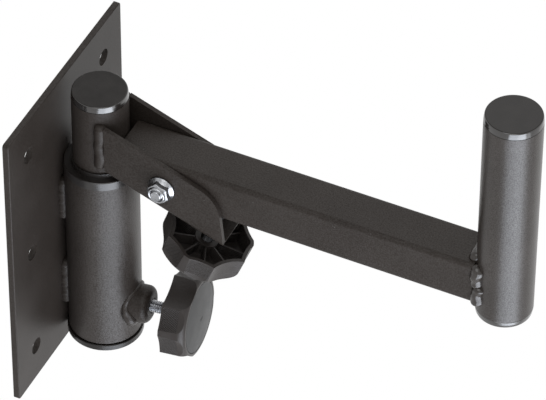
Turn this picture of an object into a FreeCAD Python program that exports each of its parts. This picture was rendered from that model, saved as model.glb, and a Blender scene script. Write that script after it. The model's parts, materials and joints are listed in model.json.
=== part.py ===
import FreeCAD, Part
import math
import os

from FreeCAD import Matrix, Vector

# Speaker wall bracket, millimetres. The origin is the middle of the wall plate's back face,
# +X points out of the wall along the arm, +Y across the plate, +Z up.

# Wall plate
plate_width = 146.0
plate_height = 212.0
plate_thickness = 4.0
plate_corner_radius = 2.0
plate_edge_round = 0.7
hole_spacing_y = 98.0
hole_spacing_z = 80.0
hole_rows = 3
hole_radius = 5.5

# Clearances
running_clearance = 0.08
inside_clearance = 0.05
seat_gap = 0.2

# Sleeve welded to the plate
sleeve_wall = 2.0
sleeve_bottom_z = -89.5
sleeve_length = 130.0
end_ring_height = 6.0
sleeve_cap_lip = 1.0
sleeve_cap_neck = 0.9
end_ring_round = 1.2
plug_wall = 1.6
plug_depth = 4.0
plate_weld_radius = 4.2
plate_weld_spans = ((-80.0, -43.0), (-7.0, 24.0))

# Plastic bushes that the spindle turns in
bush_wall = 3.37
bush_body_length = 16.0
bush_lip_wall = 1.1
bush_lip_height = 3.4
bush_floor_width = 3.0
bush_floor_thickness = 3.0

# Spindle and pole, both the standard pole tube
pole_tube_radius = 17.5
pole_tube_wall = 2.0
spindle_top_z = 97.9
cap_height = 4.6
cap_round = 0.9
cap_slope = 0.6
cap_chamfer = 0.4
cap_skirt_length = 10.0
cap_skirt_wall = 1.5
pole_bottom_z = 38.1
pole_length = 144.8
pole_reach = 266.0

# Fork: a folded channel that slopes down from the spindle
pivot_gap = 32.5
pivot_z = 57.4
fork_angle = 20.0
fork_thickness = 3.0
fork_bend_radius = 1.0
fork_height = 34.0
fork_side_clearance = 0.5
fork_web_drop = 14.3
fork_reach = 48.4
fork_end_lean = 26.0
fork_corner_radius = 20.0
fork_weld_radius = 3.6
fork_weld_stand = 0.7
fork_weld_inset = 3.3
fork_weld_overrun = 2.0

# Arm: square tube with a mitred inner end
arm_side = 30.0
arm_wall = 2.0
arm_corner_radius = 3.0
arm_centre_z = 59.2
arm_root_gap = 1.4
arm_mitre = 45.0
arm_weld_radius = 3.4
arm_weld_stand = 0.15

# Fasteners
bolt_radius = 4.0
bolt_head_height = 5.3
bolt_head_flats = 13.0
bolt_end_length = 0.8
nut_flats = 13.0
nut_height = 8.0
nut_flange_radius = 8.7
nut_flange_height = 1.6
hex_chamfer = 0.7
weld_nut_height = 6.5

# Screws: the clamp screw in its boss and the tilt screw under the fork
boss_z = -64.6
boss_radius = 12.2
boss_reach = 10.0
boss_round = 4.5
boss_dish_radius = 5.4
boss_dish_depth = 0.9
boss_weld_size = 2.4
clamp_knob_gap = 14.5
clamp_lean_aside = 4.8
clamp_lean_up = 1.9
clamp_tip_gap = 0.5
screw_edge_gap = 12.2
tilt_knob_gap = 13.7
tilt_lean_aside = 4.0
stud_radius = 4.0
stud_tip_chamfer = 1.2
stud_embed = 10.0

# Knobs: three lobes, each with two gripping flats beside a narrow land,
# and a wider hollow between the lobes
knob_radius = 28.3
knob_face_radius = 24.4
knob_height = 16.8
knob_shoulder_height = 12.2
knob_shoulder_inset = 0.4
knob_wall = 2.2
knob_face_wall = 3.2
knob_lobes = 3
land_half_angle = 4.0
grip_angle = 32.8
grip_depth = 0.9
hollow_depth = 2.1
knob_hub_radius = 7.5
knob_hub_recess = 5.0
knob_rib_count = 9
knob_rib_thickness = 1.0
knob_rib_recess = 5.5
knob_rib_start = 13.0
cover_radius = 22.9
cover_gap = 0.4
cover_recess = 1.2
cover_dome = 1.3
clamp_lobe_angle = 167.5
tilt_lobe_angle = -95.0

# Places worked out from the sizes above
origin = Vector(0, 0, 0)
x_axis = Vector(1, 0, 0)
y_axis = Vector(0, 1, 0)
z_axis = Vector(0, 0, 1)
bush_bore_radius = pole_tube_radius + running_clearance
bush_outer_radius = bush_bore_radius + bush_wall
sleeve_inner_radius = bush_outer_radius + inside_clearance
sleeve_radius = sleeve_inner_radius + sleeve_wall
sleeve_top_z = sleeve_bottom_z + sleeve_length
spindle_x = plate_thickness + sleeve_radius
lower_bush_z = sleeve_bottom_z + plug_depth
spindle_bottom_z = lower_bush_z + bush_floor_thickness + seat_gap
pivot_reach = pole_tube_radius + pivot_gap
pivot = Vector(spindle_x + pivot_reach, 0, pivot_z)
pole_x = spindle_x + pole_reach
arm_bottom_z = arm_centre_z - arm_side / 2
arm_top_z = arm_centre_z + arm_side / 2
arm_root_x = spindle_x + pole_tube_radius + arm_root_gap
arm_half_drop = pivot_z - arm_bottom_z
arm_weld_y = arm_side / 2 - arm_weld_radius / 2
arm_weld_x = pole_x - math.sqrt((pole_tube_radius + arm_weld_stand) ** 2 - arm_weld_y ** 2)
arm_end_x = arm_weld_x - arm_weld_radius
fork_inner_half = arm_side / 2 + fork_side_clearance
fork_outer_half = fork_inner_half + fork_thickness
fork_weld_y = fork_inner_half + fork_thickness / 4
fork_weld_x = spindle_x + math.sqrt((pole_tube_radius + fork_weld_stand) ** 2 - fork_weld_y ** 2)
fork_root_x = fork_weld_x + fork_weld_inset
web_top = -fork_web_drop
web_bottom = web_top - fork_thickness
stud_bore_radius = stud_radius + running_clearance
boss_face = Vector(spindle_x + sleeve_radius + boss_reach, 0, boss_z)
clamp_axis = Vector(1, math.tan(math.radians(clamp_lean_aside)), math.tan(math.radians(clamp_lean_up)))
clamp_axis.normalize()
clamp_knob_foot = boss_face + clamp_axis * clamp_knob_gap
slope = math.radians(fork_angle)
screw_reach = fork_reach - screw_edge_gap
contact_reach = (screw_reach * math.sin(slope) - arm_half_drop - stud_radius) / math.cos(slope)
tilt_lean = math.radians(tilt_lean_aside)
tilt_stud_reach = (contact_reach - seat_gap - web_bottom) / math.cos(tilt_lean) + stud_radius


def box(x_range, y_range, z_range):
    size = [high - low for low, high in (x_range, y_range, z_range)]
    return Part.makeBox(*size, Vector(x_range[0], y_range[0], z_range[0]))


def rod(radius, start, end):
    direction = end - start
    return Part.makeCylinder(radius, direction.Length, start, direction)


def turned(points):
    """Solid turned about the Z axis from an outline of (radius, height) points."""
    corners = [Vector(radius, 0, height) for radius, height in points]
    outline = Part.makePolygon(corners + corners[:1])
    return Part.Face(outline).revolve(origin, z_axis, 360)


def rounded(shape, radius, keep):
    return shape.makeFillet(radius, [edge for edge in shape.Edges if keep(edge)])


def at_height(height):
    return lambda edge: all(abs(vertex.Z - height) < 0.001 for vertex in edge.Vertexes)


def along(direction):
    def keep(edge):
        if not isinstance(edge.Curve, Part.Line):
            return False
        return abs(abs(edge.Curve.Direction.dot(direction)) - 1) < 0.001
    return keep


def moved(shape, place, turn_axis=None, angle=0.0):
    copy = shape.copy()
    if turn_axis:
        copy.rotate(origin, turn_axis, angle)
    copy.translate(place)
    return copy


def in_fork(shape):
    """Carries a shape from the fork's own axes, with its origin on the pivot, into place."""
    return moved(shape, pivot, y_axis, fork_angle)


def onto_spindle_axis(shape):
    return moved(shape, Vector(spindle_x, 0, 0))


def spindle_bar(radius=pole_tube_radius):
    return rod(radius, Vector(spindle_x, 0, sleeve_bottom_z), Vector(spindle_x, 0, spindle_top_z))


def sleeve_bar():
    return rod(sleeve_radius, Vector(spindle_x, 0, sleeve_bottom_z), Vector(spindle_x, 0, sleeve_top_z))


def clamp_rod(radius, low=-sleeve_radius, high=0.0):
    """Rod on the clamp screw's axis, measured from the boss's face."""
    return rod(radius, boss_face + clamp_axis * low, boss_face + clamp_axis * high)


def wall_plate():
    half_width = plate_width / 2
    half_height = plate_height / 2
    plate = box((0, plate_thickness), (-half_width, half_width), (-half_height, half_height))
    plate = rounded(plate, plate_corner_radius, along(x_axis))
    plate = rounded(plate, plate_edge_round,
                    lambda edge: all(abs(vertex.X - plate_thickness) < 0.001 for vertex in edge.Vertexes))
    for side in (-1, 1):
        for row in range(hole_rows):
            y = side * hole_spacing_y / 2
            z = (row - (hole_rows - 1) / 2) * hole_spacing_z
            plate = plate.cut(rod(hole_radius, Vector(-1, y, z), Vector(plate_thickness + 1, y, z)))
    return plate


def plate_welds():
    """Stitch beads in the corner between the plate and the sleeve, two on each side."""
    offset = plate_weld_radius * 2.3
    depth = plate_thickness + plate_weld_radius * 0.35
    beads = []
    for side in (-1, 1):
        for low, high in plate_weld_spans:
            bead = rod(plate_weld_radius, Vector(depth, side * offset, low), Vector(depth, side * offset, high))
            bead = bead.cut(sleeve_bar())
            front = box((plate_thickness, spindle_x), (-sleeve_radius, sleeve_radius), (low, high))
            beads.append(bead.common(front))
    return Part.makeCompound(beads)


def sleeve_tube():
    tube = sleeve_bar().cut(rod(sleeve_inner_radius, Vector(spindle_x, 0, sleeve_bottom_z),
                                Vector(spindle_x, 0, sleeve_top_z)))
    return tube.cut(clamp_rod(stud_bore_radius))


def top_bush():
    """Flanged bush: its flange is the ring on the sleeve, its lip closes round the spindle."""
    top = sleeve_top_z + end_ring_height
    lip_radius = pole_tube_radius + bush_lip_wall
    ring = turned([
        (bush_bore_radius, sleeve_top_z - bush_body_length),
        (bush_outer_radius, sleeve_top_z - bush_body_length),
        (bush_outer_radius, sleeve_top_z),
        (sleeve_radius, sleeve_top_z),
        (sleeve_radius, top - cap_chamfer),
        (sleeve_radius - cap_chamfer, top),
        (lip_radius, top),
        (lip_radius, top + bush_lip_height),
        (bush_bore_radius, top + bush_lip_height),
    ])
    return onto_spindle_axis(ring)


def lower_bush():
    """Bush with an inward floor that the spindle stands on."""
    ring = turned([
        (pole_tube_radius - bush_floor_width, lower_bush_z),
        (bush_outer_radius, lower_bush_z),
        (bush_outer_radius, lower_bush_z + bush_body_length / 2),
        (bush_bore_radius, lower_bush_z + bush_body_length / 2),
        (bush_bore_radius, lower_bush_z + bush_floor_thickness),
        (pole_tube_radius - bush_floor_width, lower_bush_z + bush_floor_thickness),
    ])
    return onto_spindle_axis(ring)


def sleeve_cap():
    """Bottom plug of the sleeve: a wide lip, flat beside the plate, and a ring up to the lower bush."""
    radius = sleeve_radius + sleeve_cap_lip
    neck_radius = sleeve_radius - sleeve_wall / 2
    low = sleeve_bottom_z - end_ring_height
    lip_top = sleeve_bottom_z - sleeve_cap_neck
    inner = bush_outer_radius - plug_wall
    plug = turned([
        (0, low),
        (radius - end_ring_round, low),
        (radius, low + end_ring_round),
        (radius, lip_top - cap_chamfer),
        (radius - cap_chamfer, lip_top),
        (neck_radius, lip_top),
        (neck_radius, sleeve_bottom_z),
        (bush_outer_radius, sleeve_bottom_z),
        (bush_outer_radius, lower_bush_z),
        (inner, lower_bush_z),
        (inner, sleeve_bottom_z - end_ring_height / 2),
        (0, sleeve_bottom_z - end_ring_height / 2),
    ])
    reach = 2 * sleeve_radius
    beside_plate = box((0, plate_thickness + seat_gap), (-reach, reach), (low - 1, sleeve_bottom_z))
    return onto_spindle_axis(plug).cut(beside_plate)


def clamp_boss():
    """Turned boss, saddled onto the sleeve, dished round the clamp screw that runs through it."""
    boss = rod(boss_radius, origin, Vector(0, 0, sleeve_radius))
    boss = rounded(boss, boss_round, at_height(sleeve_radius))
    boss.translate(Vector(0, 0, -sleeve_radius))
    bottom = Vector(0, 0, -boss_dish_depth)
    dish = Part.makeCone(stud_bore_radius, boss_dish_radius, boss_dish_depth, bottom, z_axis)
    boss = on_clamp(boss.cut(dish), boss_face)
    return boss.cut(sleeve_bar()).cut(clamp_rod(stud_bore_radius))


def boss_weld():
    """Fillet bead round the foot of the boss."""
    low = -boss_reach - 2 * boss_weld_size
    start = Vector(0, 0, low)
    cone = Part.makeCone(boss_radius + 1.5 * boss_weld_size, boss_radius, 3 * boss_weld_size, start, z_axis)
    collar = on_clamp(cone, boss_face).cut(sleeve_bar())
    return collar.cut(clamp_rod(boss_radius))


def pole_tube(x, low, high):
    outer = rod(pole_tube_radius, Vector(x, 0, low), Vector(x, 0, high))
    bore_radius = pole_tube_radius - pole_tube_wall
    return outer.cut(rod(bore_radius, Vector(x, 0, low), Vector(x, 0, high)))


def tube_cap(x, z, upward):
    """Push-in cap of the pole tube: a tapered disc with a skirt inside the tube."""
    skirt = pole_tube_radius - pole_tube_wall - inside_clearance
    cap = turned([
        (0, 0),
        (skirt - cap_skirt_wall, 0),
        (skirt - cap_skirt_wall, -cap_skirt_length),
        (skirt, -cap_skirt_length),
        (skirt, 0),
        (pole_tube_radius - cap_chamfer, 0),
        (pole_tube_radius, cap_chamfer),
        (pole_tube_radius - cap_slope / 3, cap_height / 2),
        (pole_tube_radius - cap_slope, cap_height),
        (0, cap_height),
    ])
    cap = rounded(cap, cap_round, at_height(cap_height))
    if not upward:
        cap.rotate(origin, x_axis, 180)
    return moved(cap, Vector(x, 0, z))


def fork_outline():
    """Side view of the fork in its own axes, extruded across its width."""
    top = web_bottom + fork_height
    lean = math.radians(fork_end_lean)
    turn = math.radians(90 - fork_end_lean)
    corner_u = fork_reach - (top - web_top) * math.tan(lean)
    tangent = fork_corner_radius * math.tan(turn / 2)
    centre = Vector(corner_u - tangent, 0, top - fork_corner_radius)
    arc_start = centre + Vector(0, 0, fork_corner_radius)
    arc_end = centre + Vector(math.sin(turn), 0, math.cos(turn)) * fork_corner_radius
    arc_middle = centre + Vector(math.sin(turn / 2), 0, math.cos(turn / 2)) * fork_corner_radius
    web_end = Vector(fork_reach, 0, web_top)
    web_foot = Vector(fork_reach, 0, web_bottom)
    back_foot = Vector(-pivot_reach, 0, web_bottom)
    back_top = Vector(-pivot_reach, 0, top)
    outline = Part.Wire([
        Part.makeLine(back_top, arc_start),
        Part.Arc(arc_start, arc_middle, arc_end).toShape(),
        Part.makeLine(arc_end, web_end),
        Part.makeLine(web_end, web_foot),
        Part.makeLine(web_foot, back_foot),
        Part.makeLine(back_foot, back_top),
    ])
    side = Part.Face(outline).extrude(y_axis * (2 * fork_outer_half))
    return moved(side, Vector(0, -fork_outer_half, 0))


def fork_channel(half_width, floor, bend_radius):
    block = box((-2 * pivot_reach, 2 * fork_reach), (-half_width, half_width), (floor, floor + 2 * fork_height))
    return rounded(block, bend_radius,
                   lambda edge: along(x_axis)(edge) and abs(edge.Vertexes[0].Z - floor) < 0.001)


def fork():
    """Folded channel: open on top, cut square at the spindle and notched to fit round it."""
    outer = fork_channel(fork_outer_half, web_bottom, fork_bend_radius + fork_thickness)
    channel = outer.cut(fork_channel(fork_inner_half, web_top, fork_bend_radius))
    channel = channel.common(fork_outline())
    channel = in_fork(channel).cut(tilt_bore())
    root = box((0, fork_root_x), (-2 * fork_outer_half, 2 * fork_outer_half),
               (sleeve_bottom_z, 2 * spindle_top_z))
    channel = channel.cut(root).cut(spindle_bar())
    return channel.cut(rod(bolt_radius + running_clearance, pivot - y_axis * 2 * fork_outer_half,
                           pivot + y_axis * 2 * fork_outer_half))


def fork_welds(fork_solid):
    """Vertical beads between the fork's side plates and the spindle."""
    rise = (pivot.x - fork_root_x) * math.tan(slope)
    low = pivot.z + rise + web_bottom / math.cos(slope) + fork_thickness
    high = pivot.z + rise + (web_bottom + fork_height) / math.cos(slope) + fork_weld_overrun
    beads = []
    for side in (-1, 1):
        y = side * fork_weld_y
        bead = rod(fork_weld_radius, Vector(fork_weld_x, y, low), Vector(fork_weld_x, y, high))
        beads.append(bead.cut(spindle_bar()).cut(fork_solid))
    return Part.makeCompound([largest(bead) for bead in beads])


def largest(shape):
    return max(shape.Solids, key=lambda solid: solid.Volume)


def hex_prism(flats, height, chamfer):
    """Hexagonal prism on the Z axis, its top corners taken off by a cone."""
    corner = flats / math.sqrt(3)
    points = [Vector(corner * math.cos(math.radians(60 * side)), corner * math.sin(math.radians(60 * side)), 0)
              for side in range(7)]
    prism = Part.Face(Part.makePolygon(points)).extrude(Vector(0, 0, height))
    inner = corner - 2 * chamfer
    shaping = turned([(0, 0), (corner, 0), (corner, height - chamfer), (inner, height), (0, height)])
    return prism.common(shaping)


def pivot_bolt():
    """Hexagon bolt across the fork, its head on the +Y side."""
    head = hex_prism(bolt_head_flats, bolt_head_height, hex_chamfer)
    length = 2 * fork_outer_half + nut_height + bolt_end_length
    shank = turned([
        (0, -length),
        (bolt_radius - hex_chamfer, -length),
        (bolt_radius, -length + hex_chamfer),
        (bolt_radius, 0),
        (0, 0),
    ])
    bolt = head.fuse(shank).removeSplitter()
    return moved(bolt, pivot + y_axis * fork_outer_half, x_axis, -90)


def pivot_nut():
    """Flange nut on the bolt's end, on the -Y side."""
    flange = turned([
        (0, 0),
        (nut_flange_radius, 0),
        (nut_flange_radius, nut_flange_height / 2),
        (nut_flats / 2, nut_flange_height + 0.8),
        (0, nut_flange_height + 0.8),
    ])
    nut = flange.fuse(hex_prism(nut_flats, nut_height, hex_chamfer)).removeSplitter()
    nut = nut.cut(rod(bolt_radius + inside_clearance, Vector(0, 0, -1), Vector(0, 0, nut_height + 1)))
    return moved(nut, pivot - y_axis * fork_outer_half, x_axis, 90)


def weld_nut():
    """Nut welded under the fork's web, which the tilt screw runs in."""
    nut = hex_prism(nut_flats, weld_nut_height, hex_chamfer)
    nut.rotate(origin, x_axis, 180)
    return in_fork(moved(nut, Vector(screw_reach, 0, web_bottom))).cut(tilt_bore())


def square_bar(side, corner_radius, length):
    half = side / 2
    bar = box((0, length), (-half, half), (-half, half))
    return moved(rounded(bar, corner_radius, along(x_axis)), Vector(arm_root_x, 0, arm_centre_z))


def arm_tube():
    """Square tube, mitred over the fork's web and cupped round the pole."""
    length = arm_end_x - arm_root_x
    tube = square_bar(arm_side, arm_corner_radius, length)
    tube = tube.cut(square_bar(arm_side - 2 * arm_wall, arm_corner_radius - arm_wall, length))
    reach = 2 * arm_side
    mitre = box((-reach, 0), (-reach, reach), (-reach, reach))
    tube = tube.cut(moved(mitre, Vector(arm_root_x, 0, arm_top_z), y_axis, -arm_mitre))
    tube = tube.cut(rod(pole_tube_radius, Vector(pole_x, 0, pole_bottom_z), Vector(pole_x, 0, arm_top_z + 1)))
    return tube.cut(rod(bolt_radius + running_clearance, pivot - y_axis * arm_side, pivot + y_axis * arm_side))


def arm_welds(arm_solid):
    """Beads between the arm's end and the pole: one up each side, one over and one under."""
    foot = Vector(pole_x, 0, pole_bottom_z)
    pole = rod(pole_tube_radius, foot, foot + z_axis * pole_length)
    half = arm_side / 2
    low = arm_bottom_z + arm_wall
    high = arm_top_z - arm_wall / 2
    beads = []
    for side in (-1, 1):
        y = side * arm_weld_y
        bead = rod(arm_weld_radius, Vector(arm_weld_x, y, low), Vector(arm_weld_x, y, high))
        beads.append(bead.cut(pole).cut(arm_solid))
    front_x = pole_x - pole_tube_radius
    for z in (arm_bottom_z, arm_top_z):
        bead = rod(arm_weld_radius, Vector(front_x, -half / 2, z), Vector(front_x, half / 2, z))
        beads.append(bead.cut(pole).cut(arm_solid))
    return Part.makeCompound([largest(bead) for bead in beads])


def stud(length):
    """Threaded stud on the Z axis, tip at the origin, running towards -Z."""
    return turned([
        (0, 0),
        (stud_radius - stud_tip_chamfer, 0),
        (stud_radius, -stud_tip_chamfer),
        (stud_radius, -length + stud_tip_chamfer / 2),
        (stud_radius - stud_tip_chamfer / 2, -length),
        (0, -length),
    ])


def knob_bell(inset):
    """Knob's round body without its grips, open end at height 0 and face at the top."""
    rim = knob_radius - inset
    shoulder = rim - knob_shoulder_inset
    face_radius = knob_face_radius - inset
    face = knob_height - (knob_face_wall if inset else 0)
    shoulder_height = knob_shoulder_height - inset
    middle = Vector(face_radius + 0.72 * (shoulder - face_radius), 0,
                    shoulder_height + 0.62 * (face - shoulder_height))
    outline = Part.Wire([
        Part.makeLine(Vector(0, 0, 0), Vector(rim, 0, 0)),
        Part.makeLine(Vector(rim, 0, 0), Vector(shoulder, 0, shoulder_height)),
        Part.Arc(Vector(shoulder, 0, shoulder_height), middle, Vector(face_radius, 0, face)).toShape(),
        Part.makeLine(Vector(face_radius, 0, face), Vector(0, 0, face)),
        Part.makeLine(Vector(0, 0, face), Vector(0, 0, 0)),
    ])
    return Part.Face(outline).revolve(origin, z_axis, 360)


def flute(centre_angle, half_angle, depth, inset):
    """Upright cylinder that hollows the knob's side between two corners."""
    chord = knob_radius * math.cos(math.radians(half_angle))
    floor = chord - depth
    distance = (knob_radius ** 2 - floor ** 2) / (2 * (chord - floor))
    angle = math.radians(centre_angle)
    centre = Vector(distance * math.cos(angle), distance * math.sin(angle), -1)
    return rod(distance - floor + inset, centre, centre + z_axis * (knob_height + 2))


def knob_shell(inset):
    shell = knob_bell(inset)
    pitch = 360 / knob_lobes
    hollow_half = pitch / 2 - land_half_angle - grip_angle
    for lobe in range(knob_lobes):
        for side in (-1, 1):
            centre = lobe * pitch + side * (land_half_angle + grip_angle / 2)
            shell = shell.cut(flute(centre, grip_angle / 2, grip_depth, inset))
        shell = shell.cut(flute((lobe + 0.5) * pitch, hollow_half, hollow_depth, inset))
    return shell


def knob():
    """Moulded knob, hollow from the back, with a hub and thin ribs out to its wall."""
    cavity = knob_shell(knob_wall)
    body = knob_shell(0).cut(cavity)
    floor = knob_height - knob_face_wall
    hub = rod(knob_hub_radius, Vector(0, 0, knob_hub_recess), Vector(0, 0, floor))
    ribs = []
    for index in range(knob_rib_count):
        rib = box((0, knob_radius), (-knob_rib_thickness / 2, knob_rib_thickness / 2), (knob_rib_recess, floor))
        rib.rotate(origin, z_axis, knob_rib_start + index * 360 / knob_rib_count)
        ribs.append(rib.common(cavity))
    body = body.fuse([hub] + ribs).removeSplitter()
    body = body.cut(rod(cover_radius + cover_gap, Vector(0, 0, knob_height - cover_recess),
                        Vector(0, 0, knob_height + 1)))
    return body.cut(rod(stud_radius + inside_clearance, Vector(0, 0, 0),
                        Vector(0, 0, knob_hub_recess + stud_embed + seat_gap)))


def knob_cover():
    """Shallow domed disc let into the knob's face."""
    low = knob_height - cover_recess
    ball_radius = (cover_radius ** 2 + cover_dome ** 2) / (2 * cover_dome)
    half_rise = math.sqrt(ball_radius ** 2 - (cover_radius / 2) ** 2) - ball_radius + cover_dome
    dome_edge = Vector(cover_radius, 0, knob_height)
    dome_middle = Vector(cover_radius / 2, 0, knob_height + half_rise)
    dome_top = Vector(0, 0, knob_height + cover_dome)
    outline = Part.Wire([
        Part.makeLine(Vector(0, 0, low), Vector(cover_radius, 0, low)),
        Part.makeLine(Vector(cover_radius, 0, low), dome_edge),
        Part.Arc(dome_edge, dome_middle, dome_top).toShape(),
        Part.makeLine(dome_top, Vector(0, 0, low)),
    ])
    return Part.Face(outline).revolve(origin, z_axis, 360)


def frame_matrix(across, side, axis, place):
    return Matrix(across.x, side.x, axis.x, place.x,
                  across.y, side.y, axis.y, place.y,
                  across.z, side.z, axis.z, place.z,
                  0, 0, 0, 1)


def on_clamp(shape, place, lobe_angle=0.0):
    """Carries a shape from the Z axis onto the clamp screw's axis."""
    across = z_axis.cross(clamp_axis).normalize()
    placed = moved(shape, origin, z_axis, lobe_angle)
    placed.transformShape(frame_matrix(across, clamp_axis.cross(across), clamp_axis, place))
    return placed


def on_tilt(shape, depth, lobe_angle=0.0):
    """Carries a shape from the Z axis onto the tilt screw, its origin at a depth under the fork's web."""
    flipped = moved(moved(shape, origin, z_axis, -lobe_angle), Vector(0, 0, -depth), x_axis, 180)
    leaning = moved(flipped, Vector(screw_reach, 0, web_bottom), x_axis, -tilt_lean_aside)
    return in_fork(leaning)


def tilt_bore():
    return on_tilt(rod(stud_bore_radius, origin, Vector(0, 0, fork_height)), -fork_height / 2)


def clamp_stud():
    reach = (boss_face.x - spindle_x - pole_tube_radius) / clamp_axis.x - clamp_tip_gap
    length = reach + clamp_knob_gap + knob_hub_recess + stud_embed
    shank = moved(stud(length), origin, y_axis, 180)
    return on_clamp(shank, boss_face - clamp_axis * reach)


def tilt_stud():
    """Stud that carries the arm: rounded tip just under the arm's floor."""
    length = tilt_stud_reach + tilt_knob_gap + knob_hub_recess + stud_embed
    tip = box((-stud_radius, stud_radius), (-stud_radius, stud_radius), (-stud_radius, 1))
    ball = Part.makeSphere(stud_radius, Vector(0, 0, -stud_radius))
    shank = stud(length).cut(tip).fuse(ball.common(tip)).removeSplitter()
    return on_tilt(moved(shank, origin, x_axis, 180), -tilt_stud_reach)


def build():
    fork_solid = fork()
    arm_solid = arm_tube()
    spindle_top = Vector(spindle_x, 0, spindle_top_z)
    pole_top_z = pole_bottom_z + pole_length
    return {
        "wall_plate": wall_plate(),
        "plate_welds": plate_welds(),
        "sleeve_tube": sleeve_tube(),
        "top_bush": top_bush(),
        "lower_bush": lower_bush(),
        "sleeve_cap": sleeve_cap(),
        "clamp_boss": clamp_boss(),
        "boss_weld": boss_weld(),
        "spindle_tube": pole_tube(spindle_x, spindle_bottom_z, spindle_top_z),
        "spindle_cap": tube_cap(spindle_top.x, spindle_top.z, True),
        "fork": fork_solid,
        "fork_welds": fork_welds(fork_solid),
        "weld_nut": weld_nut(),
        "pivot_bolt": pivot_bolt(),
        "pivot_nut": pivot_nut(),
        "arm_tube": arm_solid,
        "arm_welds": arm_welds(arm_solid),
        "pole_tube": pole_tube(pole_x, pole_bottom_z, pole_top_z),
        "pole_top_cap": tube_cap(pole_x, pole_top_z, True),
        "pole_bottom_cap": tube_cap(pole_x, pole_bottom_z, False),
        "clamp_stud": clamp_stud(),
        "clamp_knob": on_clamp(knob(), clamp_knob_foot, clamp_lobe_angle),
        "clamp_knob_cover": on_clamp(knob_cover(), clamp_knob_foot),
        "tilt_stud": tilt_stud(),
        "tilt_knob": on_tilt(knob(), tilt_knob_gap, tilt_lobe_angle),
        "tilt_knob_cover": on_tilt(knob_cover(), tilt_knob_gap),
    }


os.makedirs("parts", exist_ok=True)
for name, shape in build().items():
    shape.exportStep("parts/" + name + ".step")
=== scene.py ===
import json
import math

import bpy
import numpy as np
from mathutils import Matrix, Vector


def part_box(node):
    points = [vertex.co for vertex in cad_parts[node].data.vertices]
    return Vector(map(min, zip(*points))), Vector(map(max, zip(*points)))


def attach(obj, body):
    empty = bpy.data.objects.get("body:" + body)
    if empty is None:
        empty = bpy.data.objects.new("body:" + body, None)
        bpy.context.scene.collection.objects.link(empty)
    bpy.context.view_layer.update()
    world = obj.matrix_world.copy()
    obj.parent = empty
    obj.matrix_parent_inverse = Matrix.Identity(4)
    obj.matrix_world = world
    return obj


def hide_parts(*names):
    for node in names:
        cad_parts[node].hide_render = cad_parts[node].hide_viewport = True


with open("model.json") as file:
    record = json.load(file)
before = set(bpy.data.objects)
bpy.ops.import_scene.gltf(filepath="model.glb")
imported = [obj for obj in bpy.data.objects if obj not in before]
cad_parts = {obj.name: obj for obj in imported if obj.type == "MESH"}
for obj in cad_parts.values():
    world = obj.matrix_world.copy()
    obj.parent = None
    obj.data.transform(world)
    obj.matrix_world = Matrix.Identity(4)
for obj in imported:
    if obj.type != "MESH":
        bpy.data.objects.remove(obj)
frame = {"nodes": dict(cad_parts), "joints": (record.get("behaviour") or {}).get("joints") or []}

nodes = frame["nodes"]
joints = {joint["name"]: joint for joint in frame["joints"]}
mm = 0.001
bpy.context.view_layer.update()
print("stage: frame loaded,", len(nodes), "nodes")

# camera, fitted to the outlines in the photograph: angles in degrees, distances in metres

photoCamera = {"azimuth": 25.317, "elevation": 43.222, "roll": 0.388, "distance": 2.80236,
               "target": (0.142177, -0.000419, 0.059218), "clipEnd": 50,
               "focalPixels": 4704.63, "imageWidth": 546, "sensorMm": 36.0}


def wayTo(azimuth, elevation):
    # unit vector towards a place in the studio: azimuth from -Y round to +X, elevation up from level
    az, el = math.radians(azimuth), math.radians(elevation)
    return Vector((math.sin(az) * math.cos(el), -math.cos(az) * math.cos(el), math.sin(el)))


def placeCamera(s):
    az, roll = math.radians(s["azimuth"]), math.radians(s["roll"])
    back = wayTo(s["azimuth"], s["elevation"])
    right = Vector((math.cos(az), math.sin(az), 0))
    up = back.cross(right)
    side = right * math.cos(roll) + up * math.sin(roll)
    top = up * math.cos(roll) - right * math.sin(roll)
    data = bpy.data.cameras.new("photoCamera")
    data.sensor_width = s["sensorMm"]
    data.lens = s["focalPixels"] / s["imageWidth"] * s["sensorMm"]
    data.clip_end = s["clipEnd"]
    camera = bpy.data.objects.new("photoCamera", data)
    place = Matrix((side, top, back)).transposed().to_4x4()
    place.translation = Vector(s["target"]) + back * s["distance"]
    camera.matrix_world = place
    bpy.context.scene.collection.objects.link(camera)
    bpy.context.scene.camera = camera


placeCamera(photoCamera)
print("stage: camera")

# studio: white floor and surround, soft lamps

studio = {"floorZ": -1.4, "floorSize": 14.0, "floorColour": 0.82, "surround": 0.75,
          "lamps": {
              "frontLow": {"azimuth": 43, "elevation": -30, "distance": 1.05, "width": 1.0, "height": 1.0,
                           "radiance": 5.2, "tint": (0.92, 0.98, 1.08)},
              "rightLow": {"azimuth": 64, "elevation": -34, "distance": 1.4, "width": 1.0, "height": 1.0,
                           "radiance": 1.6, "tint": (0.95, 0.98, 1.04)},
              "backLow": {"azimuth": 150, "elevation": -40, "distance": 1.4, "width": 1.3, "height": 1.2,
                          "radiance": 0.3, "tint": (1, 1, 1)},
              "backHigh": {"azimuth": 192, "elevation": 43, "distance": 1.5, "width": 0.7, "height": 1.2,
                           "radiance": 0.9, "tint": (1, 1, 1)},
              "topSoftbox": {"azimuth": 20, "elevation": 58, "distance": 1.6, "width": 1.0, "height": 1.0,
                             "radiance": 2.3, "tint": (1, 1, 1)},
          }}


def addNode(tree, kind, **values):
    # each value goes to the node's setting of that name, or else to its input
    node = tree.nodes.new(kind)
    for key, value in values.items():
        if hasattr(node, key):
            setattr(node, key, value)
        else:
            node.inputs[key].default_value = value
    return node


def mathNode(tree, operation, first, second=None):
    # first and second are numbers or other nodes' outputs
    node = tree.nodes.new("ShaderNodeMath")
    node.operation = operation
    for slot, value in enumerate((first, second)):
        if value is None:
            continue
        if isinstance(value, (int, float)):
            node.inputs[slot].default_value = value
        else:
            tree.links.new(value, node.inputs[slot])
    return node.outputs[0]


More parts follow.
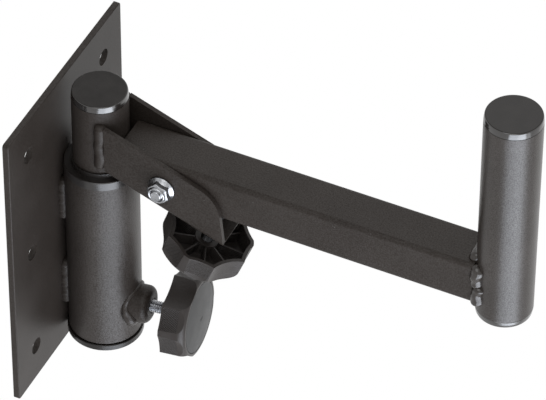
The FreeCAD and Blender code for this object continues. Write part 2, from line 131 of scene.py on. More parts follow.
def seenDirectly(tree):
    # 1 for camera, mirror and glass rays, which see plain white behind the bracket
    path = tree.nodes.new("ShaderNodeLightPath")
    seen = mathNode(tree, "MAXIMUM", path.outputs["Is Camera Ray"], path.outputs["Is Glossy Ray"])
    return mathNode(tree, "MAXIMUM", seen, path.outputs["Is Transmission Ray"])


def whiteWhereSeen(tree, lit, white, out):
    # the lit shader lights the bracket, and the white one shows behind it
    mix = tree.nodes.new("ShaderNodeMixShader")
    tree.links.new(seenDirectly(tree), mix.inputs[0])
    tree.links.new(lit.outputs[0], mix.inputs[1])
    tree.links.new(white.outputs[0], mix.inputs[2])
    tree.links.new(mix.outputs[0], out.inputs["Surface"])


def buildWorld(s):
    world = bpy.data.worlds.new("studioWorld")
    bpy.context.scene.world = world
    world.use_nodes = True
    tree = world.node_tree
    tree.nodes.clear()
    lit = addNode(tree, "ShaderNodeBackground", Strength=s["surround"])
    white = addNode(tree, "ShaderNodeBackground", Strength=1.0)
    lit.inputs["Color"].default_value = (1, 1, 1, 1)
    white.inputs["Color"].default_value = (1, 1, 1, 1)
    whiteWhereSeen(tree, lit, white, tree.nodes.new("ShaderNodeOutputWorld"))


def buildFloor(s):
    half = s["floorSize"] / 2
    mesh = bpy.data.meshes.new("floor")
    corners = [(x * half, y * half, s["floorZ"]) for x, y in ((-1, -1), (1, -1), (1, 1), (-1, 1))]
    mesh.from_pydata(corners, [], [(0, 1, 2, 3)])
    floor = bpy.data.objects.new("floor", mesh)
    bpy.context.scene.collection.objects.link(floor)
    material = bpy.data.materials.new("floorPaper")
    material.use_nodes = True
    tree = material.node_tree
    tree.nodes.clear()
    paper = tree.nodes.new("ShaderNodeBsdfDiffuse")
    paper.inputs["Color"].default_value = (s["floorColour"],) * 3 + (1,)
    white = tree.nodes.new("ShaderNodeEmission")
    whiteWhereSeen(tree, paper, white, tree.nodes.new("ShaderNodeOutputMaterial"))
    mesh.materials.append(material)


def buildLamps(s):
    # soft boxes that face the bracket; energy follows from the radiance that each one shows
    target = Vector(photoCamera["target"])
    for name, lamp in s["lamps"].items():
        way = wayTo(lamp["azimuth"], lamp["elevation"])
        data = bpy.data.lights.new(name, "AREA")
        data.shape = "RECTANGLE"
        data.color = lamp["tint"]
        data.size, data.size_y = lamp["width"], lamp["height"]
        data.energy = math.pi * lamp["width"] * lamp["height"] * lamp["radiance"]
        light = bpy.data.objects.new(name, data)
        facing = way.to_track_quat("Z", "Y").to_matrix().to_4x4()
        light.matrix_world = Matrix.Translation(target + way * lamp["distance"]) @ facing
        light.visible_camera = False
        bpy.context.scene.collection.objects.link(light)


buildWorld(studio)
buildFloor(studio)
buildLamps(studio)
print("stage: studio")

# finishes


def newMaterial(name):
    # a material with its node tree, its shader and the piece's own Object coordinates
    material = bpy.data.materials.new(name)
    material.use_nodes = True
    tree = material.node_tree
    shader = tree.nodes["Principled BSDF"]
    coords = tree.nodes.new("ShaderNodeTexCoord").outputs["Object"]
    return material, tree, shader, coords


def noise(tree, coords, size, detail, roughness=0.5):
    # size is the wavelength of the pattern in millimetres
    node = addNode(tree, "ShaderNodeTexNoise", Scale=1000.0 / size, Detail=detail, Roughness=roughness)
    tree.links.new(coords, node.inputs["Vector"])
    return node.outputs["Fac"]


def spread(tree, value, low, high, fromLow=0.3, fromHigh=0.7):
    # stretches a value from one range to another; noise lies mostly between 0.3 and 0.7
    node = tree.nodes.new("ShaderNodeMapRange")
    node.inputs["From Min"].default_value = fromLow
    node.inputs["From Max"].default_value = fromHigh
    node.inputs["To Min"].default_value = low
    node.inputs["To Max"].default_value = high
    tree.links.new(value, node.inputs["Value"])
    return node.outputs["Result"]


def mixColour(tree, factor, first, second):
    node = tree.nodes.new("ShaderNodeMix")
    node.data_type = "RGBA"
    tree.links.new(factor, node.inputs["Factor"])
    for socket, value in ((node.inputs["A"], first), (node.inputs["B"], second)):
        if isinstance(value, (tuple, list)):
            socket.default_value = tuple(value) + (1,)
        else:
            tree.links.new(value, socket)
    return node.outputs["Result"]


def bump(tree, height, distance, after=None):
    # distance in metres; after is a normal that this bump is laid over
    node = addNode(tree, "ShaderNodeBump", Strength=1.0, Distance=distance)
    tree.links.new(height, node.inputs["Height"])
    if after is not None:
        tree.links.new(after, node.inputs["Normal"])
    return node.outputs["Normal"]


coatFinish = {"dark": (0.018, 0.0142, 0.0118), "light": (0.027, 0.0222, 0.0192),
              "grainMm": 0.95, "grainHeight": 0.00006, "grainTone": 0.4, "glossSpread": 0.4,
              "cloudMm": 26.0, "cloudTone": 0.6, "roughLow": 0.38, "roughHigh": 0.50, "specular": 0.17,
              "fleck": (0.16, 0.155, 0.15), "fleckMm": 9.0, "fleckSize": 0.035, "fleckStrength": 0.35}


def powderCoat(name, s):
    # stippled powder coat: fine grain in colour and height, slow clouding, a few light specks of dust
    material, tree, shader, coords = newMaterial(name)
    grain = noise(tree, coords, s["grainMm"], detail=1.0)
    cloud = noise(tree, coords, s["cloudMm"], detail=3.0)
    tone = mathNode(tree, "ADD", spread(tree, grain, 0.0, s["grainTone"]),
                    spread(tree, cloud, 0.0, s["cloudTone"]))
    colour = mixColour(tree, tone, s["dark"], s["light"])
    dust = addNode(tree, "ShaderNodeTexVoronoi", Scale=1000.0 / s["fleckMm"])
    tree.links.new(coords, dust.inputs["Vector"])
    speck = mathNode(tree, "LESS_THAN", dust.outputs["Distance"], s["fleckSize"])
    colour = mixColour(tree, mathNode(tree, "MULTIPLY", speck, s["fleckStrength"]), colour, s["fleck"])
    tree.links.new(colour, shader.inputs["Base Color"])
    tree.links.new(spread(tree, grain, s["roughLow"], s["roughHigh"]), shader.inputs["Roughness"])
    dull, bright = (s["specular"] * (1 + way * s["glossSpread"]) for way in (-1, 1))
    tree.links.new(spread(tree, grain, dull, bright), shader.inputs["Specular IOR Level"])
    tree.links.new(bump(tree, grain, s["grainHeight"]), shader.inputs["Normal"])
    return material


plasticSkin = {"grainMm": 1.2, "grainHeight": 0.00001, "cloudMm": 9.0}


def plainPlastic(name, s):
    # moulded plastic: faint mottling in colour and gloss, with a very fine skin
    s = {**plasticSkin, **s}
    material, tree, shader, coords = newMaterial(name)
    grain = noise(tree, coords, s["grainMm"], detail=2.0)
    cloud = noise(tree, coords, s["cloudMm"], detail=3.0)
    colour = mixColour(tree, spread(tree, cloud, 0, 1), s["dark"], s["light"])
    tree.links.new(colour, shader.inputs["Base Color"])
    tree.links.new(spread(tree, cloud, s["roughLow"], s["roughHigh"]), shader.inputs["Roughness"])
    shader.inputs["Specular IOR Level"].default_value = s["specular"]
    tree.links.new(bump(tree, grain, s["grainHeight"]), shader.inputs["Normal"])
    return material


zincFinish = {"dark": (0.22, 0.225, 0.235), "light": (0.44, 0.45, 0.47),
              "cloudMm": 3.0, "cloudRoughness": 0.6, "fineMm": 0.4, "fineHeight": 0.00001,
              "roughLow": 0.20, "roughHigh": 0.36}


def zincPlate(name, s):
    # zinc plate: nearly neutral metal, clouded in colour and gloss, with a fine uneven skin
    material, tree, shader, coords = newMaterial(name)
    cloud = noise(tree, coords, s["cloudMm"], detail=4.0, roughness=s["cloudRoughness"])
    fine = noise(tree, coords, s["fineMm"], detail=2.0)
    colour = mixColour(tree, spread(tree, cloud, 0, 1), s["dark"], s["light"])
    tree.links.new(colour, shader.inputs["Base Color"])
    shader.inputs["Metallic"].default_value = 1.0
    tree.links.new(spread(tree, cloud, s["roughLow"], s["roughHigh"]), shader.inputs["Roughness"])
    tree.links.new(bump(tree, fine, s["fineHeight"]), shader.inputs["Normal"])
    return material


coat = powderCoat("stippledCoat", coatFinish)
weldCoat = powderCoat("coatOverWeld", {
    **coatFinish, "roughLow": 0.15, "roughHigh": 0.22, "specular": 0.42,
    "grainHeight": 0.00001, "glossSpread": 0.1})
padWeldCoat = powderCoat("padWeldCoat", {
    **coatFinish, "roughLow": 0.36, "roughHigh": 0.44, "specular": 0.28,
    "grainHeight": 0.00002, "glossSpread": 0.2})
smoothWeldCoat = powderCoat("smoothWeldCoat", {
    **coatFinish, "roughLow": 0.40, "roughHigh": 0.50, "grainHeight": 0.00002, "glossSpread": 0.2})
spindleCoat = powderCoat("spindleCoat", {**coatFinish, "roughLow": 0.5, "roughHigh": 0.6})
sleeveCoat = powderCoat("sleeveCoat", {**coatFinish, "specular": 0.30, "grainHeight": 0.0001})
poleCoat = powderCoat("poleCoat", {
    **coatFinish, "roughLow": 0.32, "roughHigh": 0.40, "specular": 0.38,
    "grainMm": 0.7, "grainHeight": 0.00008})

capFinish = {"dark": (0.008, 0.0065, 0.0055), "light": (0.013, 0.011, 0.0098),
             "roughLow": 0.15, "roughHigh": 0.19, "specular": 0.95, "faceSpecular": 0.22, "faceDepthMm": 0.12}


def topCapPlastic(name, node, s):
    # cap with a polished rim and a duller face: the gloss drops where the height is that of the cap's top
    material = plainPlastic(name, s)
    tree = material.node_tree
    height = tree.nodes.new("ShaderNodeSeparateXYZ")
    tree.links.new(tree.nodes["Texture Coordinate"].outputs["Object"], height.inputs["Vector"])
    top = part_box(node)[1][2]
    gloss = spread(tree, height.outputs["Z"], s["specular"], s["faceSpecular"],
                   top - 2 * s["faceDepthMm"] * mm, top - s["faceDepthMm"] * mm)
    tree.links.new(gloss, tree.nodes["Principled BSDF"].inputs["Specular IOR Level"])
    return material


poleCapPlastic = topCapPlastic("poleCapPlastic", "pole_top_cap", capFinish)
spindleCapPlastic = topCapPlastic("spindleCapPlastic", "spindle_cap", capFinish)
capPlastic = plainPlastic("capPlastic", capFinish)
sleeveCapPlastic = plainPlastic("sleeveCapPlastic", {
    "dark": (0.006, 0.0048, 0.0040), "light": (0.010, 0.0085, 0.0075),
    "roughLow": 0.24, "roughHigh": 0.30, "specular": 0.30})
bushPlastic = plainPlastic("bushPlastic", {
    "dark": (0.010, 0.0085, 0.0075), "light": (0.015, 0.013, 0.012),
    "roughLow": 0.26, "roughHigh": 0.34, "specular": 0.50})
coverPlastic = plainPlastic("coverPlastic", {
    "dark": (0.020, 0.0195, 0.019), "light": (0.027, 0.0265, 0.026),
    "roughLow": 0.40, "roughHigh": 0.48, "specular": 0.2})
zinc = zincPlate("brightZinc", zincFinish)
# painted shade: a darkened copy of the bright zinc for the tilt screw, standing in for the shade under the
# fork
shadedTiltZinc = zincPlate("zincWithPaintedShade", {**zincFinish, "dark": (0.02, 0.02, 0.021), "light": (0.05, 0.05, 0.052)})

# angles in degrees from a lobe's middle, heights up the knob's wall in millimetres
knobSkin = {"dark": (0.024, 0.020, 0.018), "light": (0.031, 0.027, 0.025),
            "roughLow": 0.34, "roughHigh": 0.44, "specular": 0.2,
            "lobes": 3, "gripFrom": 5.0, "gripTo": 35.8, "wallLow": 1.0, "wallHigh": 11.8,
            "teeth": 132, "pitchMm": 1.25, "toothHeight": 0.00018,
            # the valley colour and its strength and range are painted shade, laid into the low parts of the
            # grip's teeth
            "valleyShade": (0.010, 0.008, 0.007), "valleyShadeStrength": 0.9, "valleyShadeBottom": -0.9, "valleyShadeBrim": 0.3,
            "stippleMm": 1.3, "stippleHeight": 0.00012}
knobTurns = {"armSlope": 20.0, "tiltFromArm": 95.0, "clampFromLevel": 167.5}


def between(tree, value, low, high):
    # 1 where the value lies between the two bounds, otherwise 0
    return mathNode(tree, "MULTIPLY", mathNode(tree, "GREATER_THAN", value, low),
                    mathNode(tree, "LESS_THAN", value, high))


def knobPlastic(name, joint, lobeWay, s):
    # Moulded knob: small pyramids on each lobe's two grips, as the product of a sine round the knob and one
    # up it, with painted shade darkening the valleys between them, and stipple in the hollows between the
    # lobes.
    # Both keep to the side wall.
    material = plainPlastic(name, s)
    tree = material.node_tree
    shader = tree.nodes["Principled BSDF"]
    axis = Vector(joint["axis"]).normalized()
    lobe = (Vector(lobeWay) - axis * axis.dot(Vector(lobeWay))).normalized()
    turn = Matrix((lobe, axis.cross(lobe), axis)).transposed().to_euler()
    place = addNode(tree, "ShaderNodeMapping", vector_type="TEXTURE", Location=joint["pos_m"], Rotation=turn)
    tree.links.new(tree.nodes["Texture Coordinate"].outputs["Object"], place.inputs["Vector"])
    local = tree.nodes.new("ShaderNodeSeparateXYZ")
    tree.links.new(place.outputs["Vector"], local.inputs["Vector"])
    x, y, z = (local.outputs[k] for k in range(3))
    angle = mathNode(tree, "ARCTAN2", y, x)
    fromLobe = mathNode(tree, "PINGPONG", angle, math.pi / s["lobes"])
    onWall = between(tree, z, s["wallLow"] * mm, s["wallHigh"] * mm)
    onGrip = between(tree, fromLobe, math.radians(s["gripFrom"]), math.radians(s["gripTo"]))
    around = mathNode(tree, "SINE", mathNode(tree, "MULTIPLY", angle, s["teeth"]))
    upward = mathNode(tree, "SINE", mathNode(tree, "MULTIPLY", z, 2 * math.pi / (s["pitchMm"] * mm)))
    teeth = mathNode(tree, "MULTIPLY", mathNode(tree, "MULTIPLY", around, upward), onGrip)
    inHollow = mathNode(tree, "GREATER_THAN", fromLobe, math.radians(s["gripTo"]))
    stipple = noise(tree, place.outputs["Vector"], s["stippleMm"], detail=1.0)
    stipple = mathNode(tree, "MULTIPLY", mathNode(tree, "MULTIPLY", stipple, inHollow),
                       s["stippleHeight"] / s["toothHeight"])
    height = mathNode(tree, "MULTIPLY", mathNode(tree, "ADD", teeth, stipple), onWall)
    # painted shade: the colour darkens towards the bottom of each valley between the teeth, on the grips only
    paintedValleyShade = mathNode(tree, "MULTIPLY", mathNode(tree, "MULTIPLY", onGrip, onWall),
                    spread(tree, teeth, s["valleyShadeStrength"], 0.0, s["valleyShadeBottom"], s["valleyShadeBrim"]))
    plain = shader.inputs["Base Color"].links[0].from_socket
    skin = shader.inputs["Normal"].links[0].from_socket
    tree.links.new(mixColour(tree, paintedValleyShade, plain, s["valleyShade"]), shader.inputs["Base Color"])
    tree.links.new(bump(tree, height, s["toothHeight"], after=skin), shader.inputs["Normal"])
    return material


def lobeDirections(s):
    # the middle of one lobe of each knob: the tilt knob's is turned from the arm's way about its screw, and
    # the clamp knob's from the level line across its screw
    slope = math.radians(s["armSlope"])
    tiltAxis = Vector(joints["tilt_turn"]["axis"])
    along = Vector((math.cos(slope), 0, -math.sin(slope)))
    tiltLobe = Matrix.Rotation(math.radians(s["tiltFromArm"]), 3, tiltAxis) @ along
    clampAxis = Vector(joints["clamp_turn"]["axis"])
    level = Vector((0, 0, 1)).cross(clampAxis)
    clampLobe = Matrix.Rotation(math.radians(s["clampFromLevel"]), 3, clampAxis) @ level
    return tiltLobe, clampLobe


tiltLobe, clampLobe = lobeDirections(knobTurns)
tiltKnobPlastic = knobPlastic("tiltKnobPlastic", joints["tilt_turn"], tiltLobe, knobSkin)
clampKnobPlastic = knobPlastic("clampKnobPlastic", joints["clamp_turn"], clampLobe, knobSkin)

finishes = {
    "wall_plate": coat, "clamp_boss": coat, "fork": coat, "weld_nut": coat, "arm_tube": coat,
    "sleeve_tube": sleeveCoat, "spindle_tube": spindleCoat, "pole_tube": poleCoat,
    "plate_welds": smoothWeldCoat, "fork_welds": smoothWeldCoat,
    "boss_weld": padWeldCoat, "arm_welds": weldCoat,
    "top_bush": bushPlastic, "lower_bush": bushPlastic,
    "sleeve_cap": sleeveCapPlastic, "pole_bottom_cap": capPlastic,
    "spindle_cap": spindleCapPlastic, "pole_top_cap": poleCapPlastic,
    "clamp_knob": clampKnobPlastic, "clamp_knob_cover": coverPlastic,
    "tilt_knob": tiltKnobPlastic, "tilt_knob_cover": coverPlastic,
    "pivot_bolt": zinc, "pivot_nut": zinc, "clamp_stud": zinc, "tilt_stud": shadedTiltZinc,
}
for name, material in finishes.items():
    nodes[name].data.materials.clear()
    nodes[name].data.materials.append(material)
print("stage: finishes")

# pieces worked out on grids, in millimetres


def unit(vector):
    return np.asarray(vector, float) / np.linalg.norm(vector)


def closedTube(rings, loop=False):
    # rings[row, column] is a grid of points round a line. As a loop its last ring joins the first, and
    # otherwise both ends close on a pole at the end ring's middle.
    rows, columns = rings.shape[:2]
    row, column = np.meshgrid(np.arange(rows if loop else rows - 1), np.arange(columns), indexing="ij")
    ahead, beside = (row + 1) % rows, (column + 1) % columns
    quads = np.stack([row * columns + column, row * columns + beside,
                      ahead * columns + beside, ahead * columns + column], -1).reshape(-1, 4)
    points = rings.reshape(-1, 3)
    triangles = np.empty((0, 3), int)
    if not loop:
        points = np.vstack([points, rings[0].mean(0), rings[-1].mean(0)])
        edge, following = np.arange(columns), (np.arange(columns) + 1) % columns
        last = (rows - 1) * columns
        near = np.stack([following, edge, np.full(columns, rows * columns)], -1)
        far = np.stack([last + edge, last + following, np.full(columns, rows * columns + 1)], -1)
        triangles = np.vstack([near, far])
    # volume from the triangles tells which way the faces point
    split = np.vstack([quads[:, [0, 1, 2]], quads[:, [0, 2, 3]], triangles])
    a, b, c = (points[split[:, k]] for k in range(3))
    if np.einsum("ij,ij->", a, np.cross(b, c)) < 0:
        quads, triangles = quads[:, ::-1], triangles[:, ::-1]
    return points, quads, triangles


def makePiece(name, shapes, material, node, body):
    # one mesh from several closed shapes, standing for a CAD node
    points, faces, start = [], [], 0
    for shape, quads, triangles in shapes:
        points.append(shape)
        faces += (quads + start).tolist() + (triangles + start).tolist()
        start += len(shape)
    mesh = bpy.data.meshes.new(name)
    mesh.from_pydata((np.vstack(points) * mm).tolist(), [], faces)
    mesh.materials.append(material)
    mesh.polygons.foreach_set("use_smooth", np.ones(len(mesh.polygons), bool))
    mesh.update()
    piece = bpy.data.objects.new(name, mesh)
    bpy.context.scene.collection.objects.link(piece)
    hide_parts(node)
    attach(piece, body)


def wander(along, around, wavesMm, seed):
    # slow waves along a bead and round it, summed with seeded phases, between about -1 and 1
    random = np.random.default_rng(seed)
    total = np.zeros(np.broadcast(along, around).shape)
    for turns, wave in enumerate(wavesMm):
        first, second = random.uniform(0, 2 * np.pi, 2)
        total += np.sin(2 * np.pi * along / wave + first) * np.cos(turns * around + second)
    return total / math.sqrt(len(wavesMm))


leastTaperSquared = 0.0004  # keeps a bead's end rings open
swaySeed = 50  # added to a bead's own seed


def beadShape(line, outward, s, seed, loop=False, swell=1.0):
    # Weld bead: a round section carried along a line, which sways a little. Its radius is the size, times a
    # quarter-round taper at each end, times shallow overlapping scales (a half ellipse for each pitch,
    # lagging round the back), times slow seeded waves.
    step = np.linalg.norm(np.diff(line, axis=0), axis=1)
    along = np.concatenate([[0], np.cumsum(step)])[:, None]
    length = along[-1, 0]
    around = np.linspace(0, 2 * np.pi, s["sides"], endpoint=False)[None, :]
    tangent = np.gradient(line, axis=0)
    if loop:
        tangent = np.roll(line, -1, 0) - np.roll(line, 1, 0)
    tangent /= np.linalg.norm(tangent, axis=1)[:, None]
    outward = outward - np.einsum("ij,ij->i", outward, tangent)[:, None] * tangent
    outward /= np.linalg.norm(outward, axis=1)[:, None]
    side = np.cross(tangent, outward)
    taper = 1.0
    if not loop:
        depth = np.clip(np.minimum(along, length - along) / s["endMm"], 0.0, 1.0)
        taper = np.sqrt(np.maximum(1 - (1 - depth) ** 2, leastTaperSquared))
    scale = ((along + s["lagMm"] * np.cos(around)) / s["pitchMm"]) % 1.0 * 2 - 1
    ripple = 1 - s["scaleDepth"] * (1 - np.sqrt(1 - np.minimum(scale ** 2, 1)))
    lumps = 1 + s["lumps"] * wander(along, around, s["wavesMm"], seed)
    radius = s["radius"] * swell * taper * ripple * lumps
    sway = s["sway"] * wander(along, np.zeros((1, 1)), s["wavesMm"][:2], seed + swaySeed) * taper
    proud = (radius * np.cos(around))[:, :, None]
    wide = (radius * np.sin(around) + sway)[:, :, None]
    return closedTube(line[:, None, :] + proud * outward[:, None, :] + wide * side[:, None, :], loop)


def straightBead(start, end, outward, s, seed):
    # rows stand closer together near the two ends, where the bead tapers
    rows = int(np.linalg.norm(np.subtract(end, start)) / s["stepMm"]) + 2
    t = (0.5 - 0.5 * np.cos(np.linspace(0, np.pi, rows)))[:, None]
    line = np.asarray(start) * (1 - t) + np.asarray(end) * t
    return beadShape(line, np.tile(unit(outward), (rows, 1)), s, seed)


def uprightBead(out, side, low, high, s, seed):
    # straight bead from low to high, on one side of the bracket's middle plane
    return straightBead((out, side * s["aside"], low), (out, side * s["aside"], high),
                        (s["facing"][0], side * s["facing"][1], 0), s, seed)


# out is a bead's distance from the wall and aside that from the middle plane; a run is its low and high end,
# and a stitch of the arm is its distance from the wall and its two ends
plateBead = {"radius": 4.3, "sides": 28, "stepMm": 0.45, "endMm": 3.0,
             "pitchMm": 1.5, "scaleDepth": 0.05, "lagMm": 1.1,
             "lumps": 0.07, "wavesMm": (11.0, 6.0, 3.4), "sway": 0.25,
             "out": 5.4, "aside": 9.6, "facing": (1, 0.6), "runs": ((-74.0, -38.5), (-2.5, 29.5)),
             "seed": 10, "seedForSide": 3}
forkBead = {"radius": 3.8, "sides": 28, "stepMm": 0.4, "endMm": 3.2,
            "pitchMm": 2.3, "scaleDepth": 0.012, "lagMm": 1.2,
            "lumps": 0.07, "wavesMm": (19.0, 13.0, 9.0), "sway": 0.5,
            "out": 34.9, "aside": 16.2, "facing": (0, 1), "run": (55.0, 90.0), "seed": 31}
armBead = {"radius": 4.3, "sides": 28, "stepMm": 0.35, "endMm": 3.4,
           "pitchMm": 2.6, "scaleDepth": 0.008, "lagMm": 1.4,
           "lumps": 0.08, "wavesMm": (17.0, 12.0, 8.0), "sway": 0.8,
           "aside": 13.0, "facing": (-0.4, 1), "stitches": ((281.4, 42.8, 59.2), (280.3, 57.2, 74.2)),
           "seed": 40, "seedForSide": 5,
           "overOut": 276.5, "overLevels": (44.2, 74.2), "overHalf": 11.0, "overSeed": 60}
bossBead = {"radius": 1.9, "sides": 24, "rows": 260, "pitchMm": 2.4, "scaleDepth": 0.008, "lagMm": 1.0,
            "lumps": 0.10, "wavesMm": (19.0, 11.0, 7.0), "sway": 0.5, "seed": 72,
            "ring": 11.7, "sink": 0.4, "padAngle": 203.0, "padSpread": 34.0, "padSwell": 1.1, "padLift": 3.6,
            "boss": (60.0, 0.0, -64.6), "sleeveOut": 27.0, "sleeveRadius": 23.0}


def plateBeads(s):
    # two runs on each side, in the corner between the wall plate and the sleeve
    return [uprightBead(s["out"], side, low, high, s, s["seed"] + turn + s["seedForSide"] * side)
            for side in (-1, 1) for turn, (low, high) in enumerate(s["runs"])]


def forkBeads(s):
    # one run on each side, where the fork's end meets the spindle
    return [uprightBead(s["out"], side, *s["run"], s, s["seed"] + side) for side in (-1, 1)]


def armBeads(s):
    # two stitches up each side of the arm, and one bead across its bottom and its top
    shapes = [uprightBead(out, side, low, high, s, s["seed"] + turn + s["seedForSide"] * side)
              for side in (-1, 1) for turn, (out, low, high) in enumerate(s["stitches"])]
    for turn, level in enumerate(s["overLevels"]):
        ends = [(s["overOut"], way * s["overHalf"], level) for way in (-1, 1)]
        shapes.append(straightBead(*ends, (-1, 0, 2 * turn - 1), s, s["overSeed"] + turn))
    return shapes


def bossBeadRing(s):
    # Ring round the clamp screw's axis, moved back along the axis until it lies on the sleeve's round wall.
    # A bell curve of the angle lifts it off the wall and thickens it, which makes the broad pad on one side.
    axis = unit(joints["clamp_slide"]["axis"])
    across = unit(np.cross((0, 0, 1), axis))
    up = np.cross(axis, across)
    angle = np.linspace(0, 2 * np.pi, s["rows"], endpoint=False)[:, None]
    ringPoint = np.asarray(s["boss"]) + s["ring"] * (np.cos(angle) * across + np.sin(angle) * up)
    away = (np.degrees(angle) - s["padAngle"] + 180) % 360 - 180
    pad = np.exp(-(away / s["padSpread"]) ** 2)
    flatPoint, flatAxis = ringPoint[:, :2] - (s["sleeveOut"], 0), axis[:2]
    a, b = flatAxis @ flatAxis, flatPoint @ flatAxis
    wall = s["sleeveRadius"] - s["sink"] + s["padLift"] * pad[:, 0]
    c = np.einsum("ij,ij->i", flatPoint, flatPoint) - wall ** 2
    back = (-b + np.sqrt(b ** 2 - a * c)) / a
    line = ringPoint + back[:, None] * axis
    outward = line - (s["sleeveOut"], 0, 0)
    outward[:, 2] = 0
    return [beadShape(line, outward, s, s["seed"], True, 1 + s["padSwell"] * pad)]


makePiece("plateWeldBeads", plateBeads(plateBead), smoothWeldCoat, "plate_welds", "base")
makePiece("bossWeldBead", bossBeadRing(bossBead), padWeldCoat, "boss_weld", "base")
makePiece("forkWeldBeads", forkBeads(forkBead), smoothWeldCoat, "fork_welds", "swivel")
makePiece("armWeldBeads", armBeads(armBead), weldCoat, "arm_welds", "arm")
print("stage: weld beads")

# threads, bolt and nut

screwThread = {"radius": 4.0, "depth": 0.62, "pitch": 1.25, "flank": 1.25, "crest": 0.12,
               "leastTipSquared": 0.002, "sides": 28, "stepsPerPitch": 8, "inKnob": 15.0,
               "clampReach": 29.5, "clampTip": 1.2, "tiltReach": 29.70, "tiltTip": 4.0}


def threadCut(turns, s):
    # depth of the thread under its crest: a triangle wave of the turns, clipped to flat crests and roots
    groove = np.abs((turns % 1) * 2 - 1)
    return s["depth"] * np.clip(groove * s["flank"] - s["crest"], 0, 1)


def threadedRod(joint, reach, tipLength, s):
    # Threaded rod: rings along the screw's axis, from its tip into its knob, whose radius drops by the cut of
    # the thread at the height over the pitch less the turn. The tip is a quarter round over its last length,
    # and its least radius leaves the end ring open.
    foot, axis = np.asarray(joint["pos_m"]) / mm, unit(joint["axis"])
    across = unit(np.cross(axis, (0, 1, 0)))
    beside = np.cross(axis, across)
    rows = int((reach + s["inKnob"]) / s["pitch"] * s["stepsPerPitch"])
    along = np.linspace(-reach, s["inKnob"], rows)[:, None]
    around = np.linspace(0, 2 * np.pi, s["sides"], endpoint=False)[None, :]
    radius = s["radius"] - threadCut(along / s["pitch"] - around / (2 * np.pi), s)
    fromTip = np.clip((along + reach) / tipLength, 0, 1)
    tip = np.sqrt(np.maximum(1 - (1 - fromTip) ** 2, s["leastTipSquared"]))
    radius = np.minimum(radius, s["radius"] * tip)
    rings = foot + along[:, :, None] * axis + (radius * np.cos(around))[:, :, None] * across
    return closedTube(rings + (radius * np.sin(around))[:, :, None] * beside)


hexFastener = {"flats": 13.0, "sides": 96, "turn": -20.0,
               "chamferSlope": 1.6, "edgeBreak": 0.15, "edgeStep": 0.05,
               "pivot": (joints["arm_tilt"]["pos_m"][0] / mm, joints["arm_tilt"]["pos_m"][2] / mm),
               "forkHalf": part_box("fork")[1][1] / mm, "boltEnd": -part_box("pivot_bolt")[0][1] / mm,
               "nutHeight": 8.0, "flangeRadius": 8.7, "flangeEdge": 1.1, "flangeSlope": 1.05,
               "hexEnd": 6.3, "hexRows": 40, "chamferRadius": 6.25,
               "crownRadius": 5.75, "crownFillet": 0.05, "crownStep": 0.1, "crownLip": 4.9, "crownRows": 8,
               "bore": 4.05, "boreChamfer": 0.35, "boreChamferEnd": 0.9, "boreFoot": 3.0,
               "headHeight": 5.3, "headChamfer": 6.3, "headRim": 0.9, "headRows": 24,
               "boltRadius": 3.97, "boltChamfer": 0.8, "shankRows": 300, "threadFrom": 2.0,
               "dish": ((0.12, 2.4), (0.35, 0.4))}


def hexLimit(around, s):
    # distance from the middle to a hexagon's side, at each angle
    sector = (np.degrees(around) - s["turn"] + 30) % 60 - 30
    return s["flats"] / 2 / np.cos(np.radians(30 - np.abs(sector)))


def aroundPivot(depth, radius, around, s):
    # depth along -Y from the middle plane, radius and angle about the pivot's axis
    return np.stack([s["pivot"][0] + radius * np.cos(around), np.broadcast_to(-depth, radius.shape),
                     s["pivot"][1] + radius * np.sin(around)], -1)


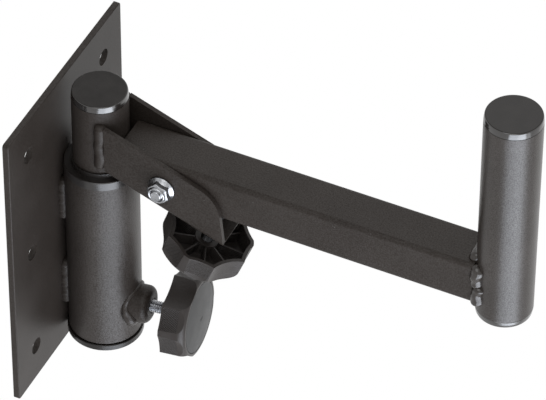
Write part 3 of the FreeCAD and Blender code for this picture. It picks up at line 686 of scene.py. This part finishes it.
def nutShape(s):
    # Flange nut: flange with a sloping top, hexagon with a chamfered end, rounded locking crown and its bore,
    # as rows of depth and radius. In the hexagon's rows the radius is the larger of the flange's slope and
    # the chamfered hexagon.
    around = np.linspace(0, 2 * np.pi, s["sides"], endpoint=False)[None, :]
    depth = np.concatenate([[0, 0, s["edgeBreak"]],
                            np.linspace(s["flangeEdge"], s["hexEnd"], s["hexRows"])])[:, None]
    flange = s["flangeRadius"] - np.maximum(depth - s["flangeEdge"], 0) * s["flangeSlope"]
    chamfer = s["chamferRadius"] + (s["hexEnd"] - depth) * s["chamferSlope"]
    radius = np.maximum(flange, np.minimum(hexLimit(around, s), chamfer))
    radius[0], radius[1] = s["bore"], s["flangeRadius"] - s["edgeBreak"]
    turn = np.linspace(0, np.pi / 2, s["crownRows"])
    height = s["nutHeight"] - s["hexEnd"]
    lipWidth = s["crownRadius"] - s["crownLip"]
    crown = s["hexEnd"] + s["crownStep"] + (height - s["crownStep"]) * np.sin(turn)
    boreDepth = [s["nutHeight"] - s["crownStep"], s["nutHeight"] - s["boreChamferEnd"], s["boreFoot"]]
    boreRadius = [s["bore"] + s["boreChamfer"], s["bore"], s["bore"]]
    crownDepth = np.concatenate([[s["hexEnd"]], crown, boreDepth])[:, None]
    crownRadius = np.concatenate([[s["crownRadius"] + s["crownFillet"]],
                                  s["crownLip"] + lipWidth * np.cos(turn), boreRadius])[:, None]
    rows = np.vstack([depth, crownDepth])
    radii = np.vstack([radius, np.broadcast_to(crownRadius, (len(crownDepth), s["sides"]))])
    rings = aroundPivot(s["forkHalf"] + rows, radii, around, s)
    return closedTube(rings, True)


def boltShape(s):
    # Hexagon bolt: chamfered head, plain shank, threaded end with a chamfer and a shallow dish, as rows of
    # depth and radius. The head's radius is the smaller of the chamfer and the hexagon.
    around = np.linspace(0, 2 * np.pi, s["sides"], endpoint=False)[None, :]
    top = -s["forkHalf"] - s["headHeight"]
    step = s["edgeStep"]
    headDepth = np.concatenate([[top, top + step],
                                np.linspace(top + 2 * step, -s["forkHalf"], s["headRows"])])[:, None]
    chamfer = s["headChamfer"] + (headDepth - top) * s["chamferSlope"]
    head = np.minimum(hexLimit(around, s), chamfer)
    head[0] = s["headChamfer"] - s["headRim"]
    end = s["boltEnd"]
    shankDepth = np.linspace(-s["forkHalf"], end - s["boltChamfer"], s["shankRows"])[:, None]
    cut = threadCut(shankDepth / screwThread["pitch"] + around / (2 * np.pi), screwThread)
    shank = s["boltRadius"] - cut * (shankDepth > s["forkHalf"] - s["threadFrom"])
    rim = s["boltRadius"] - s["boltChamfer"]
    dish = [(end - sunk, radius) for sunk, radius in s["dish"]]
    tip = np.array([(end - step, rim), (end, rim - s["edgeBreak"])] + dish)
    rows = np.vstack([headDepth, shankDepth, tip[:, :1]])
    radii = np.vstack([head, shank, np.broadcast_to(tip[:, 1:], (len(tip), s["sides"]))])
    return closedTube(aroundPivot(rows, radii, around, s))


def buildScrews(s):
    clamp = threadedRod(joints["clamp_turn"], s["clampReach"], s["clampTip"], s)
    makePiece("clampScrew", [clamp], zinc, "clamp_stud", "clamp_screw")
    tilt = threadedRod(joints["tilt_turn"], s["tiltReach"], s["tiltTip"], s)
    makePiece("tiltScrew", [tilt], shadedTiltZinc, "tilt_stud", "tilt_screw")


buildScrews(screwThread)
makePiece("pivotNut", [nutShape(hexFastener)], zinc, "pivot_nut", "swivel")
makePiece("pivotBolt", [boltShape(hexFastener)], zinc, "pivot_bolt", "swivel")
print("stage: threads, bolt and nut")

bpy.context.scene.view_settings.view_transform = "Standard"
